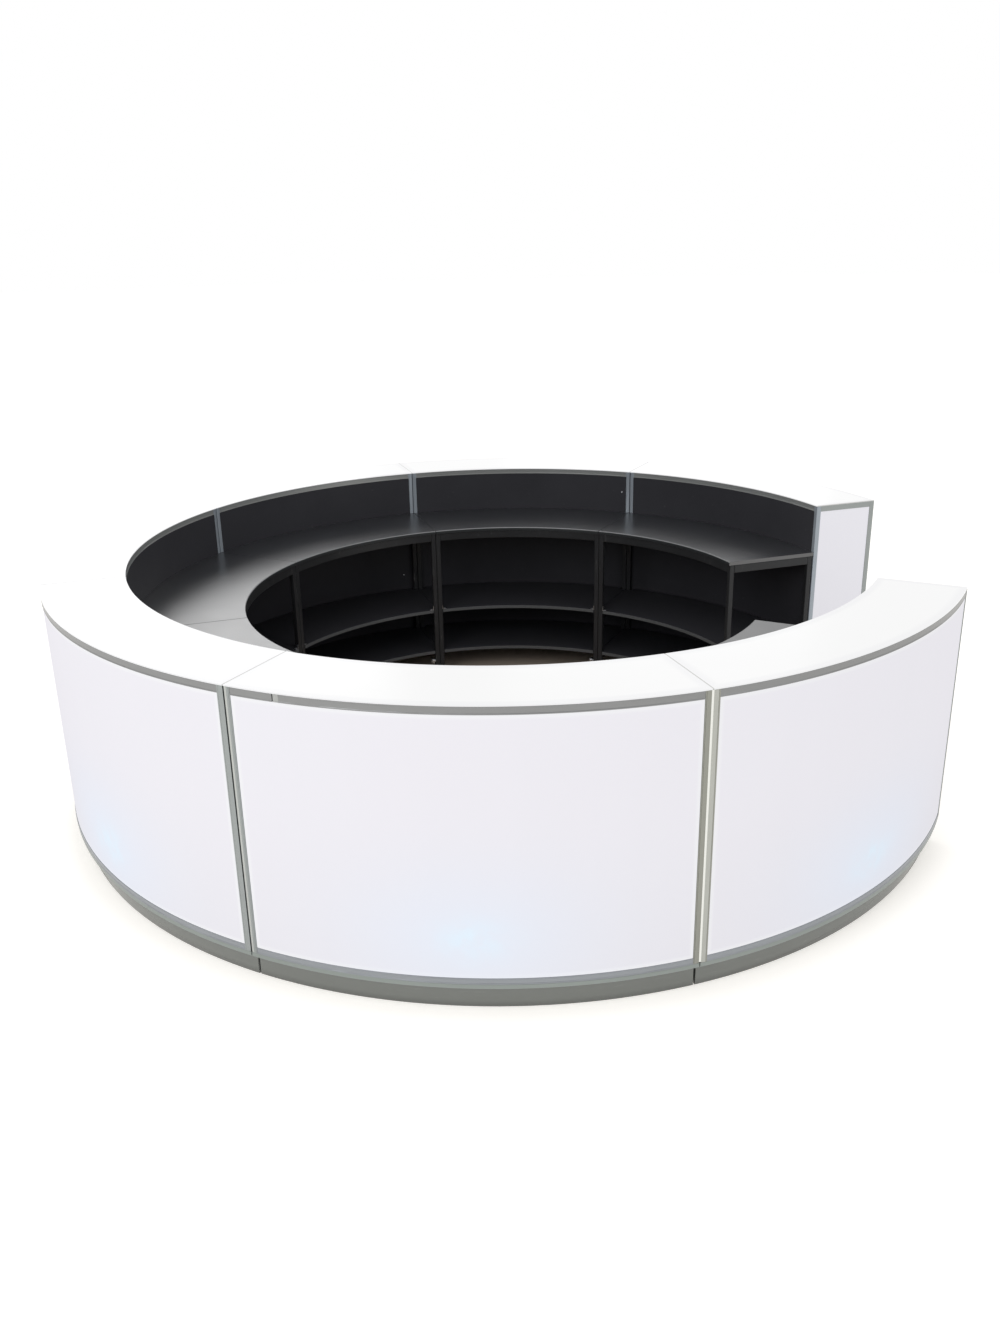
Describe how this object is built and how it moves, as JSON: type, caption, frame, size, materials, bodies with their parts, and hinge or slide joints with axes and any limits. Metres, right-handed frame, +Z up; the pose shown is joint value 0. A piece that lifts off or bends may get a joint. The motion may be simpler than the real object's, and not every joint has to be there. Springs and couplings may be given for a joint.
{
  "type": "illuminated bar counter",
  "caption": "Ring-shaped bar counter of lit opal light-box modules, with a black worktop and shelves inside and an open staff entry.",
  "frame": {"origin": "centre of the ring, on the floor", "axes": "+Z up; +X through the middle of module 1 and +Y through the middle of module 7, so the staff entry is centred between +X and +Y"},
  "size_m": [3.99, 3.99, 1.1],
  "materials": {
    "opal_top": "opal acrylic sheet, lit from below",
    "opal_front": "opal acrylic sheet, lit from behind",
    "opal_end": "opal acrylic sheet",
    "aluminium_profile": "satin anodised profile",
    "plinth_metal": "satin grey folded sheet",
    "black_board": "black melamine-faced board",
    "worktop_laminate": "satin black laminate on board",
    "black_tube": "satin black coated steel tube",
    "bright_zinc": "bright plated hand screw",
    "housing_black": "matt black housing",
    "socket_black": "matt black socket shell",
    "rocker_grey": "glossy grey rocker"
  },
  "bodies": {
    "counter": {"top_panel_1": "opal_top", "front_panel_1": "opal_front", "trim_frame_1": "aluminium_profile", "plinth_1": "plinth_metal", "carcass_1": "black_board", "worktop_1": "worktop_laminate", "shelf_frame_1": "black_tube", "top_panel_2": "opal_top", "front_panel_2": "opal_front", "trim_frame_2": "aluminium_profile", "plinth_2": "plinth_metal", "carcass_2": "black_board", "worktop_2": "worktop_laminate", "shelf_frame_2": "black_tube", "top_panel_3": "opal_top", "front_panel_3": "opal_front", "trim_frame_3": "aluminium_profile", "plinth_3": "plinth_metal", "carcass_3": "black_board", "worktop_3": "worktop_laminate", "shelf_frame_3": "black_tube", "top_panel_4": "opal_top", "front_panel_4": "opal_front", "trim_frame_4": "aluminium_profile", "plinth_4": "plinth_metal", "carcass_4": "black_board", "worktop_4": "worktop_laminate", "shelf_frame_4": "black_tube", "top_panel_5": "opal_top", "front_panel_5": "opal_front", "trim_frame_5": "aluminium_profile", "plinth_5": "plinth_metal", "carcass_5": "black_board", "worktop_5": "worktop_laminate", "shelf_frame_5": "black_tube", "top_panel_6": "opal_top", "front_panel_6": "opal_front", "trim_frame_6": "aluminium_profile", "plinth_6": "plinth_metal", "carcass_6": "black_board", "worktop_6": "worktop_laminate", "shelf_frame_6": "black_tube", "top_panel_7": "opal_top", "front_panel_7": "opal_front", "trim_frame_7": "aluminium_profile", "plinth_7": "plinth_metal", "carcass_7": "black_board", "worktop_7": "worktop_laminate", "shelf_frame_7": "black_tube", "end_panel_first": "opal_end", "end_panel_last": "opal_end", "power_supply": "housing_black", "mains_inlet": "socket_black"},
    "joining_screw_1": {"joining_screw_1": "bright_zinc"},
    "joining_screw_2": {"joining_screw_2": "bright_zinc"},
    "joining_screw_3": {"joining_screw_3": "bright_zinc"},
    "joining_screw_4": {"joining_screw_4": "bright_zinc"},
    "joining_screw_5": {"joining_screw_5": "bright_zinc"},
    "joining_screw_6": {"joining_screw_6": "bright_zinc"},
    "power_switch": {"power_switch": "rocker_grey"}
  },
  "joints": [
    {"name": "joining_screw_1_turn", "type": "hinge", "parent": "counter", "child": "joining_screw_1", "pos_m": [1.10635, -0.45826, 0.09], "axis": [0.3827, 0.9239, 0], "continuous": true},
    {"name": "joining_screw_2_turn", "type": "hinge", "parent": "counter", "child": "joining_screw_2", "pos_m": [0.45826, -1.10635, 0.09], "axis": [0.9239, 0.3827, 0], "continuous": true},
    {"name": "joining_screw_3_turn", "type": "hinge", "parent": "counter", "child": "joining_screw_3", "pos_m": [-0.45826, -1.10635, 0.09], "axis": [0.9239, -0.3827, 0], "continuous": true},
    {"name": "joining_screw_4_turn", "type": "hinge", "parent": "counter", "child": "joining_screw_4", "pos_m": [-1.10635, -0.45826, 0.09], "axis": [0.3827, -0.9239, 0], "continuous": true},
    {"name": "joining_screw_5_turn", "type": "hinge", "parent": "counter", "child": "joining_screw_5", "pos_m": [-1.10635, 0.45826, 0.09], "axis": [-0.3827, -0.9239, 0], "continuous": true},
    {"name": "joining_screw_6_turn", "type": "hinge", "parent": "counter", "child": "joining_screw_6", "pos_m": [-0.45826, 1.10635, 0.09], "axis": [-0.9239, -0.3827, 0], "continuous": true},
    {"name": "power_switch_rock", "type": "hinge", "parent": "counter", "child": "power_switch", "pos_m": [1.60689, 0.06301, 0.66], "axis": [0.0392, -0.9992, 0], "range_deg": [0, 14]}
  ]
}
